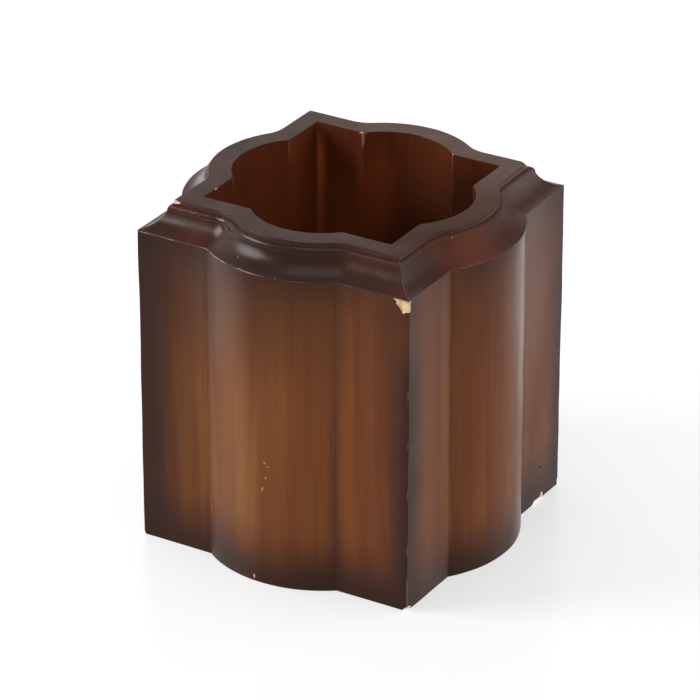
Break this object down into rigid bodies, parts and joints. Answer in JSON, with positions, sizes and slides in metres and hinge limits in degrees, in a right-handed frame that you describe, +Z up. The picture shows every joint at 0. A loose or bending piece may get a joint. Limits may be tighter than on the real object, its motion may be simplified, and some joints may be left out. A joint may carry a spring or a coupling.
{
  "type": "brush holder pot",
  "caption": "Square wooden desk pot with a shallow bow on each side, mitred walls and a moulded rim, open at the top to hold brushes and pens.",
  "frame": {"origin": "centre of the square on which the walls stand, on the table", "axes": "+Z up the axis of the cavity towards the mouth, -Y out of the front wall, +X out of the right wall"},
  "size_m": [0.116, 0.116, 0.1193],
  "materials": {
    "wall_lacquer": "orange-brown wood with a fine upright grain, shaded to near black at the corners, the foot and beside the bows, under satin lacquer",
    "rim_lacquer": "very dark red-brown stained wood under satin lacquer, worn pale along its edges",
    "joint_wood": "bare pale hardwood, unfinished",
    "base_wood": "plain board stained dark brown, almost no gloss",
    "pin_steel": "plain bright steel wire"
  },
  "bodies": {
    "root": {"wall_front": "wall_lacquer", "wall_right": "wall_lacquer", "wall_back": "wall_lacquer", "wall_left": "wall_lacquer", "rim_front": "rim_lacquer", "rim_right": "rim_lacquer", "rim_back": "rim_lacquer", "rim_left": "rim_lacquer", "tongue_front_right": "joint_wood", "tongue_back_right": "joint_wood", "tongue_back_left": "joint_wood", "tongue_front_left": "joint_wood", "rim_dowels": "joint_wood", "base_board": "base_wood", "base_pins": "pin_steel"}
  },
  "joints": []
}
